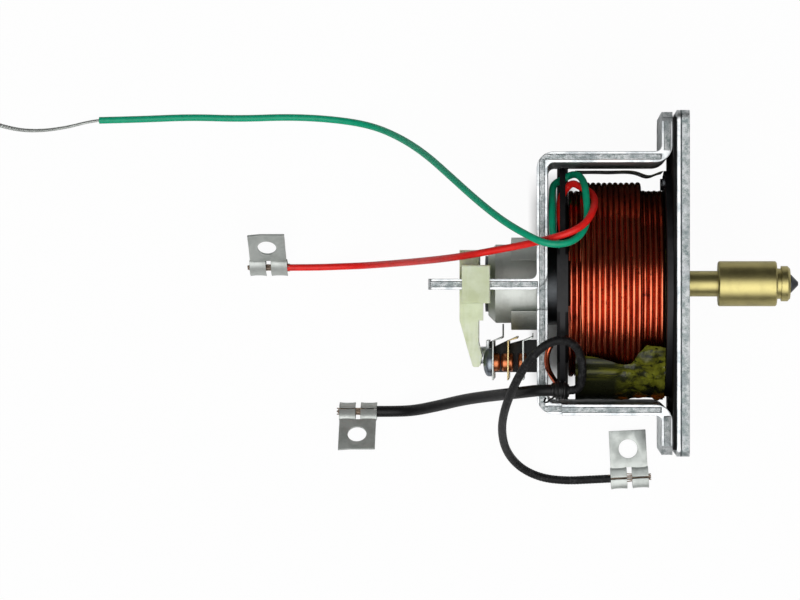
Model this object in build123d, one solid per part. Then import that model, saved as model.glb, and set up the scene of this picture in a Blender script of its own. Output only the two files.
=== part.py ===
from build123d import *
import math
import os

# A solenoid that engages a coaxial starter motor, lying on its side.
# +X is the way the push rod moves, +Y is across the yoke, +Z is up as it lies.
# The origin is the centre of the mounting plate's front face. All sizes are in millimetres.

# Clearances
SEAT = 0.3            # between curved faces of different pieces
CUT = 1.0             # how far a cutting shape runs past what it cuts
FIT = 0.05            # radial, between a pin and its hole
SLIDE_FIT = 0.1       # radial, between the plunger and its guide
STROKE = 8.0          # travel of the plunger
TRIP_TRAVEL = 2.0     # travel of the trip slider at the end of that stroke

# Mounting plate, its gasket and its rivets
PLATE_T = 4.0
PLATE_Y = 110.0
PLATE_Z = 76.0
PLATE_CORNER = 3.0
GASKET_T = 1.0
GASKET_INSET = 2.0
MOUNT_HOLE_R = 2.75
MOUNT_Y = 99.0
MOUNT_Z = 36.0
RIVET_TURN = 20.0     # degrees from the Y axis to each rivet
RIVET_R = 1.3
RIVET_HEAD_R = 2.0
RIVET_HEAD_T = 0.8

# Yoke frame, a bent strap
STRAP_T = 3.5
STRAP_Z = 54.0
YOKE_DEPTH = 43.5     # from the back of the gasket to the yoke's outer back face
COIL_GAP = 0.8        # between a wall and the coil's rear flange
BEND_R = 2.0          # inside a bend
FOOT_CORNER = 3.0

# Guide tab, bent out of the yoke's back
TAB_Z = 16.0          # lower edge of the strip that the tab is cut from
TAB_Y = -2.0          # lower face of the tab
TAB_PAST = 11.0       # from the slider's hub to the tab's end
TAB_END_R = 1.5
STRIP_END_X = -40.4   # where the cut strip begins on the lower wall
RELIEF = 6.5

# Plunger, its guide sleeve, its collar and the fixed core
PLUNGER_R = 12.9
PLUNGER_X = -28.0     # front face at rest
PLUNGER_EDGE = 2.4
SLEEVE_T = 0.6
CORE_L = 16.0
CORE_SPIGOT_R = 9.0
CORE_RECESS = 0.3
CORE_EDGE = 1.0
COLLAR_R = 15.2
COLLAR_L = 8.5
SLOT_Y0 = -9.0
SLOT_Y1 = 7.6

# Return spring
SPRING_R = 7.3        # mean radius
SPRING_WIRE_R = 0.7
SPRING_POCKET_R = 8.8
SPRING_POCKET = 8.0   # depth in the plunger and in the core
SPRING_TURNS = 7

# Push rod
NECK_R = 4.2
NECK_X = 10.7         # where the neck meets the rod's head
HEAD_R = 7.4
HEAD_L = 19.1
GROOVE_R = 5.0
GROOVE_L = 1.5
NOSE_R = 5.8
NOSE_L = 2.9
NOSE_CHAMFER = 0.8
TIP_R = 3.0
TIP_DEPTH = 6.0
TIP_CONE = 2.7
TIP_STRAIGHT = 0.4    # of the tip, in front of the nose, before its cone
TIP_POINT_R = 0.6
CROSS_PIN_R = 1.5
CROSS_PIN_L = 24.0

# Tail of the plunger, where the slider is held
WASHER_R = 9.2
WASHER_T = 1.0
TAIL_BORE_R = 4.4
TAIL_BORE = 12.5
PLUNGER_WEB = 4.0     # between the tail's bore and the rod's socket
STEM_R = 2.3
STEM_HOLE_R = 2.7
STEM_HEAD_R = 4.0
STEM_HEAD_T = 2.0
TRIP_SPRING_R = 2.9
TRIP_SPRING_WIRE_R = 0.35
TRIP_SPRING_TURNS = 4

# Trip slider
ARM_T = 6.2
ARM_GAP = 1.9         # between the arm and the washer at rest
ARM_TOP = 10.9
ARM_BEND = -12.0
ARM_Z0 = -8.0
ARM_Z1 = 15.5
ARM_LOW_Z = 6.5       # lower face of the arm beside the contact stack
HUB_BEHIND = 1.2      # from the arm's rear face to the hub's
HUB_AHEAD = 3.9       # from the arm's front face to the hub's
HUB_Y0 = -6.4
HUB_Y1 = 5.9
HUB_Z0 = 13.9
HUB_Z1 = 30.0
HUB_EDGE = 0.6
TAB_CLEAR = 0.3
NOSE_HEIGHT = 1.1     # of the nose, in front of the arm
NOSE_DROP = 3.5       # from the nose's crest to the arm's lower end
NOSE_BACK = 1.9       # from the arm's front face to where its taper ends
NOSE_EDGE = 0.8
RIB_T = 1.5
RIB_Y0 = -12.0

# Coil
BOBBIN_X0 = -42.0
BOBBIN_FLANGE_R = 38.0
REAR_FLANGE_T = 3.6
FRONT_FLANGE_T = 2.0
FRONT_FLANGE_R = 37.0
BOBBIN_WALL = 1.5
WINDOW_RIM = 1.0      # of the rear flange outside a window
WINDOW_STEP = 1.0     # from the hold-in winding to a window
WINDOW_A0 = 14.0      # degrees, from straight up
WINDOW_A1 = 85.0
BAR_INSET = 0.9
HOLD_R = 25.0
LAYER_T = 0.4
WIRE_D = 1.8
PITCH = 1.816
TURNS = 17
PULL_R = 35.5
LOW_R = 32.8
LOW_START = 2         # turns beside the rear flange that sit lower
LOW_END = 4           # turns beside the front flange that sit lower
WIRE_BULGE = 0.7
FILM_T = 0.4
FILM_GAP = 0.3
FILM_A0 = 88.0        # degrees, as for the windows
FILM_A1 = 323.0
FILM_X0 = -36.0
FILM_X1 = -8.0

# Contact stack, along X from the yoke's back
STACK_Y = -23.6
STACK_Y0 = -29.0
STACK_Y1 = -18.6
STACK_Z0 = -16.0
STACK_Z1 = 5.0
BASE_T = 4.2
LEAF_T = 0.5
SPACER_T = 4.4
COVER_T = 1.2
CLAMP_T = 1.0
LEAF_Z1 = 18.0
LEAF_Y0 = -31.3
CRANK_X = 2.9
CRANK_Y = 1.3
TAG_REACH = (1.0, 0.0, 4.0)   # of the fixed, middle and moving leaf, past the crank
TAG_Z0 = -10.5
TAG_Z1 = -7.5
SCREW_R = 1.5
SCREW_HEAD_R = 2.75
SCREW_HEAD_T = 2.0
SCREW_SLOT = 0.8      # deep
SCREW_SLOT_W = 0.7
SCREW_Z = (-12.0, 0.0)
LEAF_HOLE_R = 2.2
CONTACT_Y = -25.6
CONTACT_Z = 12.0
CONTACT_R = 3.0
CONTACT_SHANK_R = 1.4
FIRST_GAP = 0.4       # between the moving and the middle contact
SECOND_GAP = 1.7      # between the middle and the fixed contact
BUTTON_R = 4.6
BUTTON_T = 3.0
BUTTON_DOME = 1.8     # of its thickness, the domed part
HEAD_T = 0.8          # of the fixed contact's rear head

# Leads
THIN_LEAD_R = 1.15
THICK_LEAD_R = 1.9
BRAID_R = 1.4
STRAND_R = 0.25
LEAD_SLEEVE_R = 2.8
LEAD_SLEEVE_L = 5.0
LEAD_SLEEVE_POS = (-43.5, -34.4, 22.7)
LEAD_SLEEVE_EDGE = 0.5

# Flag terminals
TAG_SIDE = 12.5
TAG_SHEET = 0.8
TAG_HOLE_R = 3.2
TAG_OFFSET = 3.6
FERRULE_L = 5.5
FERRULE_GAP = 1.8
FERRULE_Y = 3.7
FERRULE_Z = 1.9
FERRULE_ROUND = 1.5   # radius of its long edges
FERRULE_BORE_R = 1.0
BARE_R = 0.8          # the strands between the two crimps
NECK_INSET = 0.5      # of the flag's necks, inside the ends of each crimp
NECK_LAP = 1.0        # of the flag's necks, into the crimp and the flag

# Places that follow from the sizes above
PLATE_BACK = -PLATE_T
GASKET_BACK = PLATE_BACK - GASKET_T
YOKE_BACK = GASKET_BACK - YOKE_DEPTH
YOKE_INNER = YOKE_BACK + STRAP_T
WALL_IN = BOBBIN_FLANGE_R + COIL_GAP
WALL_OUT = WALL_IN + STRAP_T
HALF_Z = STRAP_Z / 2
SLEEVE_R0 = PLUNGER_R + SLIDE_FIT
SLEEVE_R1 = SLEEVE_R0 + SLEEVE_T
SLEEVE_HOLE_R = SLEEVE_R1 + FIT
CORE_X0 = PLATE_BACK - CORE_L
COLLAR_X0 = YOKE_BACK - COLLAR_L
BASE_X = YOKE_BACK - BASE_T
FIXED_LEAF_X = BASE_X - LEAF_T
MIDDLE_LEAF_X = FIXED_LEAF_X - SPACER_T - LEAF_T
MOVING_LEAF_X = MIDDLE_LEAF_X - SPACER_T - LEAF_T
CLAMP_X = MOVING_LEAF_X - COVER_T - CLAMP_T
BUTTON_X = MOVING_LEAF_X - BUTTON_T
NOSE_X = BUTTON_X - SEAT
ARM_X1 = NOSE_X - NOSE_HEIGHT
ARM_X0 = ARM_X1 - ARM_T
HUB_X0 = ARM_X0 + HUB_BEHIND
HUB_X1 = ARM_X1 + HUB_AHEAD
TAB_END = HUB_X0 - TAB_PAST
WASHER_X0 = ARM_X1 + ARM_GAP
PLUNGER_REAR = WASHER_X0 + WASHER_T
ROD_FOOT = PLUNGER_REAR + TAIL_BORE + PLUNGER_WEB
SOCKET_X = PLUNGER_X - SPRING_POCKET
BOBBIN_X1 = GASKET_BACK
RIVET_RING = FRONT_FLANGE_R - RIVET_HEAD_R
RIVET_Y = RIVET_RING * math.cos(math.radians(RIVET_TURN))
RIVET_Z = RIVET_RING * math.sin(math.radians(RIVET_TURN))
WINDOW_R0 = HOLD_R + WINDOW_STEP
WINDOW_R1 = BOBBIN_FLANGE_R - WINDOW_RIM
WIND_X0 = BOBBIN_X0 + REAR_FLANGE_T + FIT
WIND_X1 = BOBBIN_X1 - FRONT_FLANGE_T - FIT


# General shapes

def rod(radius, x0, x1, y=0.0, z=0.0):
    """A round bar along X."""
    return Pos((x0 + x1) / 2, y, z) * Rot(0, 90, 0) * Cylinder(radius, x1 - x0)


def ring(outer, inner, x0, x1, y=0.0, z=0.0):
    return rod(outer, x0, x1, y, z) - rod(inner, x0 - CUT, x1 + CUT, y, z)


def block(x0, x1, y0, y1, z0, z1):
    centre = Pos((x0 + x1) / 2, (y0 + y1) / 2, (z0 + z1) / 2)
    return centre * Box(x1 - x0, y1 - y0, z1 - z0)


def turned(points):
    """A solid turned about X from (x, radius) points."""
    outline = make_face(Polyline(*[(x, r) for x, r in points], close=True))
    return revolve(outline, axis=Axis.X)


def wedge(a0, a1, x0, x1, reach=60.0):
    """A prism along X between two angles, in degrees from straight up towards +Y."""
    steps = [a0 + (a1 - a0) * i / 4 for i in range(5)]
    rim = [(reach * math.sin(math.radians(a)), reach * math.cos(math.radians(a))) for a in steps]
    outline = make_face(Polyline((0, 0), *rim, close=True))
    return Pos(x0, 0, 0) * extrude(Plane.YZ * outline, x1 - x0)


def ribbon(outer, outer_radii, inner, inner_radii, z0, z1):
    """A bent strip, between two rows of corners in the XY plane."""
    with BuildSketch() as section:
        with BuildLine():
            FilletPolyline(*outer, radius=outer_radii)
            FilletPolyline(*inner, radius=inner_radii)
            Line(outer[0], inner[0])
            Line(outer[-1], inner[-1])
        make_face()
    return Pos(0, 0, z0) * extrude(section.sketch, z1 - z0)


def coil_spring(mean_r, wire_r, x0, x1, turns):
    """A compression spring along X whose ends stop inside x0 and x1."""
    height = x1 - x0 - 2 * wire_r
    path = Helix(pitch=height / turns, height=height, radius=mean_r)
    section = Plane(origin=path @ 0, z_dir=path % 0) * Circle(wire_r)
    return Pos(x0 + wire_r, 0, 0) * Rot(0, 90, 0) * sweep(section, path=path)


def export(name, *solids):
    shape = solids[0] if len(solids) == 1 else Compound(children=list(solids))
    shape.label = name
    export_step(shape, f"parts/{name}.step")


# Plate, gasket and rivets

def corners(half_y, half_z):
    return [(y, z) for y in (-half_y, half_y) for z in (-half_z, half_z)]


def mount_holes(shape):
    for y, z in corners(MOUNT_Y / 2, MOUNT_Z / 2):
        shape -= rod(MOUNT_HOLE_R, GASKET_BACK - STRAP_T - CUT, CUT, y, z)
    return shape


def rivet_holes(shape):
    for y, z in corners(RIVET_Y, RIVET_Z):
        shape -= rod(RIVET_R + FIT, BOBBIN_X1 - FRONT_FLANGE_T - CUT, CUT, y, z)
    return shape


def sheet_x(x0, x1, width, height, corner):
    outline = Plane.YZ * RectangleRounded(width, height, corner)
    return Pos(x0, 0, 0) * extrude(outline, x1 - x0)


def mounting_plate():
    plate = sheet_x(PLATE_BACK, 0, PLATE_Y, PLATE_Z, PLATE_CORNER)
    plate -= rod(CORE_SPIGOT_R + FIT, PLATE_BACK - CUT, CUT)
    return rivet_holes(mount_holes(plate))


def plate_gasket():
    width = PLATE_Y - 2 * GASKET_INSET
    height = PLATE_Z - 2 * GASKET_INSET
    gasket = sheet_x(GASKET_BACK, PLATE_BACK, width, height, PLATE_CORNER)
    gasket -= rod(SLEEVE_HOLE_R, GASKET_BACK - CUT, CUT)
    return rivet_holes(mount_holes(gasket))


def plate_rivet(y, z):
    tail = BOBBIN_X1 - FRONT_FLANGE_T
    rivet = rod(RIVET_R, tail - RIVET_HEAD_T, RIVET_HEAD_T, y, z)
    rivet += rod(RIVET_HEAD_R, 0, RIVET_HEAD_T, y, z)
    rivet += rod(RIVET_HEAD_R, tail - RIVET_HEAD_T, tail, y, z)
    return rivet


# Yoke

def yoke_frame():
    foot = PLATE_Y / 2
    out_r = BEND_R + STRAP_T
    front = GASKET_BACK - STRAP_T
    upper_out = [(front, foot), (front, WALL_OUT), (YOKE_BACK, WALL_OUT)]
    upper_in = [(GASKET_BACK, foot), (GASKET_BACK, WALL_IN), (YOKE_INNER, WALL_IN)]
    lower_out = [(x, -y) for x, y in reversed(upper_out)]
    lower_in = [(x, -y) for x, y in reversed(upper_in)]
    deep = ribbon(upper_out + lower_out, [BEND_R, out_r, out_r, BEND_R],
                  upper_in + lower_in, [out_r, BEND_R, BEND_R, out_r], -HALF_Z, TAB_Z)
    tab_top = TAB_Y + STRAP_T
    near = ribbon(upper_out + [(YOKE_BACK, tab_top), (TAB_END, tab_top)], [BEND_R, out_r, BEND_R],
                  upper_in + [(YOKE_INNER, TAB_Y), (TAB_END, TAB_Y)], [out_r, BEND_R, out_r],
                  TAB_Z, HALF_Z)
    near_foot = ribbon([(STRIP_END_X, -WALL_OUT), (front, -WALL_OUT), (front, -foot)], [BEND_R],
                       [(STRIP_END_X, -WALL_IN), (GASKET_BACK, -WALL_IN), (GASKET_BACK, -foot)], [out_r],
                       TAB_Z, HALF_Z)
    yoke = deep + near + near_foot
    yoke -= block(YOKE_BACK - CUT, YOKE_INNER + CUT, TAB_Y - RELIEF, TAB_Y, TAB_Z - BEND_R, TAB_Z + CUT)
    yoke -= rod(SLEEVE_HOLE_R, YOKE_BACK - CUT, YOKE_INNER + CUT)
    for z in SCREW_Z:
        yoke -= rod(SCREW_R + FIT, YOKE_BACK - CUT, YOKE_INNER + CUT, STACK_Y, z)
    tips = [e for e in yoke.edges().filter_by(Axis.X)
            if abs(e.center().Y) > foot - CUT and abs(e.center().Z) > HALF_Z - CUT]
    yoke = chamfer(tips, FOOT_CORNER)
    ends = [e for e in yoke.edges().filter_by(Axis.Y) if e.center().X < TAB_END + CUT]
    yoke = fillet(ends, TAB_END_R)
    return mount_holes(yoke)


# Moving group

def plunger():
    body = turned([(PLUNGER_REAR, 0), (PLUNGER_REAR, PLUNGER_R - PLUNGER_EDGE),
                   (PLUNGER_REAR + PLUNGER_EDGE, PLUNGER_R), (PLUNGER_X - CORE_EDGE, PLUNGER_R),
                   (PLUNGER_X, PLUNGER_R - CORE_EDGE), (PLUNGER_X, 0)])
    body -= rod(SPRING_POCKET_R, SOCKET_X, PLUNGER_X + CUT)
    body -= rod(NECK_R + FIT, ROD_FOOT, SOCKET_X + CUT)
    body -= rod(TAIL_BORE_R, PLUNGER_REAR - CUT, PLUNGER_REAR + TAIL_BORE)
    return body - cross_pin(CROSS_PIN_R + FIT, 2 * PLUNGER_R)


def cross_pin(radius=CROSS_PIN_R, length=CROSS_PIN_L):
    return Pos((ROD_FOOT + SOCKET_X) / 2, 0, 0) * Cylinder(radius, length)


def push_rod():
    head = NECK_X + HEAD_L
    groove = head + GROOVE_L
    nose = groove + NOSE_L
    body = turned([(ROD_FOOT, 0), (ROD_FOOT, NECK_R), (NECK_X, NECK_R), (NECK_X, HEAD_R), (head, HEAD_R),
                   (head, GROOVE_R), (groove, GROOVE_R), (groove, NOSE_R),
                   (nose - NOSE_CHAMFER, NOSE_R), (nose, NOSE_R - NOSE_CHAMFER), (nose, 0)])
    rims = [e for e in body.edges().filter_by(GeomType.CIRCLE)
            if abs(e.radius - HEAD_R) < 0.01]
    body = chamfer(rims, NOSE_CHAMFER / 2)
    body -= rod(TIP_R + FIT, nose - TIP_DEPTH, nose + CUT)
    return body - cross_pin(CROSS_PIN_R + FIT, 2 * PLUNGER_R)


def rod_tip():
    nose = NECK_X + HEAD_L + GROOVE_L + NOSE_L
    return turned([(nose - TIP_DEPTH, 0), (nose - TIP_DEPTH, TIP_R),
                   (nose + TIP_STRAIGHT, TIP_R), (nose + TIP_CONE, TIP_POINT_R), (nose + TIP_CONE, 0)])


def end_washer():
    return ring(WASHER_R, STEM_HOLE_R, WASHER_X0, PLUNGER_REAR)


def stem_head_x():
    """Rear face of the stem's head, which the washer meets at the end of the stroke."""
    return PLUNGER_REAR + (STROKE - TRIP_TRAVEL) + FIT


def trip_slider():
    end = STACK_Y - NOSE_DROP
    with BuildSketch() as outline:
        with BuildLine():
            Polyline((ARM_X0, ARM_TOP), (ARM_X0, ARM_BEND), (ARM_X1 - NOSE_BACK, end),
                     (NOSE_X - NOSE_EDGE, end), (NOSE_X, STACK_Y),
                     (ARM_X1, STACK_Y + BUTTON_R), (ARM_X1, ARM_TOP), close=True)
        make_face()
    arm = Pos(0, 0, ARM_Z0) * extrude(outline.sketch, ARM_Z1 - ARM_Z0)
    crests = [e for e in arm.edges().filter_by(Axis.Z) if e.center().Y < end + CUT]
    arm = fillet(crests, NOSE_EDGE)
    arm -= block(ARM_X0 - CUT, NOSE_X + CUT, end - CUT, RIB_Y0, ARM_Z0 - CUT, ARM_LOW_Z)
    rib = block(ARM_X1 - CUT, ARM_X1 + RIB_T, RIB_Y0, HUB_Y0 + CUT, HUB_Z0, ARM_Z1)
    hub = block(HUB_X0, HUB_X1, HUB_Y0, HUB_Y1, HUB_Z0, HUB_Z1)
    hub = fillet(hub.edges().filter_by(Axis.X), HUB_EDGE)
    slot = block(ARM_X0 - CUT, HUB_X1 + CUT, TAB_Y - TAB_CLEAR, TAB_Y + STRAP_T + TAB_CLEAR,
                 TAB_Z - TAB_CLEAR, HALF_Z + TAB_CLEAR)
    head = stem_head_x()
    stem = rod(STEM_R, ARM_X1 - CUT, head + CUT) + rod(STEM_HEAD_R, head, head + STEM_HEAD_T)
    return arm + rib + hub + stem - slot


# Fixed magnetic pieces

def pole_core():
    core = turned([(CORE_X0, 0), (CORE_X0, PLUNGER_R - CORE_EDGE), (CORE_X0 + CORE_EDGE, PLUNGER_R),
                   (PLATE_BACK, PLUNGER_R), (PLATE_BACK, CORE_SPIGOT_R),
                   (-CORE_RECESS, CORE_SPIGOT_R), (-CORE_RECESS, 0)])
    core -= rod(SPRING_POCKET_R, CORE_X0 - CUT, CORE_X0 + SPRING_POCKET)
    return core - rod(NECK_R + FIT, CORE_X0, CUT)


def guide_sleeve():
    return ring(SLEEVE_R1, SLEEVE_R0, YOKE_BACK, PLATE_BACK)


def rear_collar():
    collar = ring(COLLAR_R, SLEEVE_R0, COLLAR_X0, YOKE_BACK)
    return collar - block(COLLAR_X0 - CUT, YOKE_BACK + CUT, SLOT_Y0, SLOT_Y1, 0, COLLAR_R + CUT)


# Coil

def coil_bobbin():
    rear = BOBBIN_X0 + REAR_FLANGE_T
    front = BOBBIN_X1 - FRONT_FLANGE_T
    bore = SLEEVE_R1 + 2 * FIT
    tube = bore + BOBBIN_WALL
    spool = turned([(BOBBIN_X0, bore), (BOBBIN_X0, BOBBIN_FLANGE_R), (rear, BOBBIN_FLANGE_R),
                    (rear, tube), (front, tube), (front, FRONT_FLANGE_R),
                    (BOBBIN_X1, FRONT_FLANGE_R), (BOBBIN_X1, bore)])
    for a0, a1 in ((WINDOW_A0, WINDOW_A1), (-WINDOW_A1, -WINDOW_A0)):
        window = ring(WINDOW_R1, WINDOW_R0, BOBBIN_X0 - CUT, rear + CUT)
        spool -= window & wedge(a0, a1, BOBBIN_X0 - 2 * CUT, rear + 2 * CUT)
        for x0, x1 in ((BOBBIN_X0 - CUT, BOBBIN_X0 + BAR_INSET), (rear - BAR_INSET, rear + CUT)):
            rim = ring(BOBBIN_FLANGE_R + CUT, WINDOW_R1 - CUT, x0, x1)
            spool -= rim & wedge(a0, a1, x0 - CUT, x1 + CUT)
    return rivet_holes(spool)


def hold_in_winding():
    return ring(HOLD_R, SLEEVE_R1 + 3 * FIT + BOBBIN_WALL, WIND_X0, WIND_X1)


def layer_insulation():
    return ring(HOLD_R + FIT + LAYER_T, HOLD_R + FIT, WIND_X0, WIND_X1)


def turn_radius(turn):
    low = turn < LOW_START or turn >= TURNS - LOW_END
    return LOW_R if low else PULL_R


def pull_in_winding():
    inner = HOLD_R + LAYER_T + 2 * FIT
    with BuildSketch() as section:
        with BuildLine():
            Line((WIND_X0, inner), (WIND_X0, turn_radius(0) - WIRE_BULGE))
            for turn in range(TURNS):
                x0 = WIND_X0 + turn * PITCH
                x1 = x0 + PITCH
                top = turn_radius(turn)
                root = top - WIRE_BULGE
                ThreePointArc((x0, root), ((x0 + x1) / 2, top), (x1, root))
                after = turn_radius(turn + 1) - WIRE_BULGE
                if turn < TURNS - 1 and after != root:
                    Line((x1, root), (x1, after))
            end = WIND_X0 + TURNS * PITCH
            Line((end, turn_radius(TURNS - 1) - WIRE_BULGE), (end, inner))
            Line((end, inner), (WIND_X0, inner))
        make_face()
    return revolve(section.sketch, axis=Axis.X)


def winding_film():
    inner = PULL_R + FILM_GAP
    film = ring(inner + FILM_T, inner, FILM_X0, FILM_X1)
    return film & wedge(FILM_A0, FILM_A1, FILM_X0 - CUT, FILM_X1 + CUT)


# Contact stack

def stack_piece(x, thickness, z1=STACK_Z1, hole_r=SCREW_R + FIT, y0=STACK_Y0, y1=STACK_Y1):
    """A plate of the stack whose left face is at x."""
    piece = block(x, x + thickness, y0, y1, STACK_Z0, z1)
    for z in SCREW_Z:
        piece -= rod(hole_r, x - CUT, x + thickness + CUT, STACK_Y, z)
    return piece


def leaf(x, hole_r, reach):
    """A contact spring whose upper edge is cranked, with a solder tag past it where it has a reach."""
    blade = stack_piece(x, LEAF_T, LEAF_Z1, LEAF_HOLE_R, LEAF_Y0, STACK_Y1)
    blade -= rod(hole_r, x - CUT, x + LEAF_T + CUT, CONTACT_Y, CONTACT_Z)
    foot = STACK_Y1 + CRANK_Y
    crank = Polyline((x, STACK_Y1), (x + LEAF_T, STACK_Y1), (x + LEAF_T + CRANK_X, foot - LEAF_T),
                     (x + LEAF_T + CRANK_X, foot), (x + CRANK_X, foot), close=True)
    blade += Pos(0, 0, TAG_Z0) * extrude(make_face(crank), LEAF_Z1 - TAG_Z0)
    if reach:
        blade += block(x + CRANK_X, x + CRANK_X + LEAF_T, foot, foot + reach, TAG_Z0, TAG_Z1)
    return blade


def contact_spacers():
    return [stack_piece(MIDDLE_LEAF_X + LEAF_T, SPACER_T),
            stack_piece(MOVING_LEAF_X + LEAF_T, SPACER_T),
            stack_piece(MOVING_LEAF_X - COVER_T, COVER_T)]


def clamp_screw(z):
    """A screw that ends flush with the yoke's inner face."""
    shank = rod(SCREW_R, CLAMP_X, YOKE_INNER, STACK_Y, z)
    head = rod(SCREW_HEAD_R, CLAMP_X - SCREW_HEAD_T, CLAMP_X, STACK_Y, z)
    top = CLAMP_X - SCREW_HEAD_T
    slot = block(top - CUT, top + SCREW_SLOT, STACK_Y - SCREW_HEAD_R, STACK_Y + SCREW_HEAD_R,
                 z - SCREW_SLOT_W / 2, z + SCREW_SLOT_W / 2)
    return shank + head - slot


def contact_head(x, thickness, side):
    """A domed copper head whose flat face is at x and whose crown points to side."""
    base = rod(CONTACT_R, min(x, x + side * thickness), max(x, x + side * thickness),
               CONTACT_Y, CONTACT_Z)
    crown = [e for e in base.edges().filter_by(GeomType.CIRCLE)
             if abs(e.center().X - x - side * thickness) < 0.01]
    return fillet(crown, 0.45 * thickness)


def contact_shank(x):
    return rod(CONTACT_SHANK_R, x, x + LEAF_T, CONTACT_Y, CONTACT_Z)


def fixed_contact():
    reach = SPACER_T / 2 - SECOND_GAP / 2
    return (contact_head(FIXED_LEAF_X, reach, -1) + contact_shank(FIXED_LEAF_X)
            + contact_head(FIXED_LEAF_X + LEAF_T, HEAD_T, 1))


def middle_contacts():
    right = SPACER_T - SECOND_GAP - (SPACER_T / 2 - SECOND_GAP / 2)
    left = SPACER_T / 2 - FIRST_GAP / 2
    return (contact_head(MIDDLE_LEAF_X + LEAF_T, right, 1) + contact_shank(MIDDLE_LEAF_X)
            + contact_head(MIDDLE_LEAF_X, left, -1))


def moving_contact():
    right = SPACER_T / 2 - FIRST_GAP / 2
    return contact_head(MOVING_LEAF_X + LEAF_T, right, 1) + contact_shank(MOVING_LEAF_X)


def contact_button():
    """An insulating cap with a domed face, on the outside of the moving leaf."""
    steps = [math.radians(90 * i / 6) for i in range(7)]
    dome = [(BUTTON_X + BUTTON_DOME * (1 - math.cos(a)), BUTTON_R * math.sin(a)) for a in steps]
    outline = dome + [(MOVING_LEAF_X, BUTTON_R), (MOVING_LEAF_X, 0)]
    return Pos(0, CONTACT_Y, CONTACT_Z) * turned(outline)


# Leads and their terminals

def lead(name, points, radius):
    """A lead along straight runs joined by arcs as large as the runs allow."""
    points = [Vector(*p) for p in points]
    runs = [b - a for a, b in zip(points, points[1:])]
    radii = []
    for before, after in zip(runs, runs[1:]):
        half = math.radians(before.get_angle(after)) / 2
        radii.append(0.45 * min(before.length, after.length) / math.tan(half))
    path = FilletPolyline(*points, radius=radii)
    section = Plane(origin=path @ 0, z_dir=path % 0) * Circle(radius)
    tube = sweep(section, path=path)
    expected = math.pi * radius ** 2 * path.length
    print(f"{name}: {path.length:.1f} long, volume {tube.volume:.0f} of {expected:.0f}, "
          f"radii {', '.join(f'{r:.0f}' for r in radii)}")
    export(name, tube)


GREEN_ROUTE = [
    (-40.6, 12.0, 27.5), (-43.3, 15.0, 28.7), (-43.5, 20.0, 27.5), (-43.5, 24.4, 24.4),
    (-43.5, 28.0, 20.6), (-43.4, 32.0, 14.0), (-40.7, 33.8, 8.5), (-36.7, 35.5, 9.3),
    (-33.9, 35.4, 16.2), (-32.8, 32.4, 24.2), (-32.8, 27.1, 28.8), (-32.4, 21.6, 30.8),
    (-33.6, 16.6, 34.2), (-36.6, 13.4, 37.3), (-41.2, 12.2, 39.2), (-46.5, 12.8, 39.2),
    (-52.6, 15.9, 36.2), (-59.6, 20.2, 30.5), (-68.0, 27.0, 21.0), (-76.6, 34.9, 9.0),
    (-85.6, 43.1, -6.0), (-94.9, 49.4, -21.0), (-105.1, 54.0, -32.4), (-117.9, 56.3, -36.7),
    (-133.3, 57.2, -36.8), (-150.3, 56.6, -36.8), (-167.4, 57.2, -36.8), (-184.4, 56.5, -36.8),
    (-198.8, 56.2, -36.8)]
RED_ROUTE = [
    (-40.2, 15.6, 28.2), (-40.7, 19.4, 26.6), (-41.1, 23.6, 23.6), (-40.9, 27.6, 18.6),
    (-39.2, 30.6, 14.4), (-37.0, 32.8, 15.6), (-34.0, 31.5, 19.9), (-30.4, 29.4, 22.5),
    (-29.1, 26.7, 27.9), (-30.1, 22.9, 33.2), (-32.6, 19.2, 36.2), (-36.6, 16.6, 38.2),
    (-41.2, 15.0, 37.8), (-46.5, 13.6, 34.9), (-53.5, 12.1, 31.2), (-61.8, 10.6, 28.8),
    (-71.3, 8.9, 25.0), (-80.3, 7.9, 13.5), (-89.4, 7.3, -5.0), (-98.5, 6.8, -22.0),
    (-107.5, 6.3, -32.8), (-116.3, 6.0, -35.6), (-125.2, 5.7, -36.0), (-134.0, 5.7, -36.0)]
BLACK_ROUTE = [
    (-43.5, -34.4, 22.7), (-47.6, -34.4, 22.7), (-51.8, -35.0, 18.5), (-57.0, -35.9, 9.0),
    (-64.0, -37.0, -2.5), (-73.0, -38.6, -14.5), (-82.5, -41.2, -26.0), (-90.5, -43.0, -33.4),
    (-97.0, -43.4, -36.0), (-103.4, -43.4, -36.0)]
BRAID_ROUTE = [
    (-38.5, -34.4, 22.7), (-36.3, -34.4, 22.7), (-34.6, -33.4, 23.5), (-33.6, -31.0, 25.4),
    (-33.4, -27.4, 28.4), (-33.9, -23.4, 31.9), (-35.8, -19.9, 35.2), (-39.2, -17.9, 37.8),
    (-43.6, -18.3, 38.6), (-48.4, -21.6, 37.0), (-52.8, -27.2, 32.8), (-56.4, -34.2, 25.7),
    (-59.2, -41.4, 13.5), (-60.4, -48.6, -4.0), (-59.2, -56.2, -21.5), (-54.6, -62.4, -33.0),
    (-47.4, -66.0, -36.2), (-38.8, -66.9, -36.3), (-31.0, -66.48, -36.0), (-23.8, -66.1, -36.0)]
STRAND_ROUTE = [
    (-198.8, 56.2, -36.8), (-202.6, 55.8, -37.2), (-209.9, 53.9, -37.7), (-219.5, 52.6, -37.7),
    (-229.0, 53.2, -37.7), (-236.5, 55.6, -37.7)]
LEAD_OUT_ROUTE = [
    (-38.4, -12.9, 27.0), (-41.6, -12.9, 27.0), (-44.0, -15.3, 27.4), (-45.2, -19.6, 26.3),
    (-45.3, -24.2, 23.8), (-44.3, -28.2, 21.0), (-42.7, -31.0, 18.4)]


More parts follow.
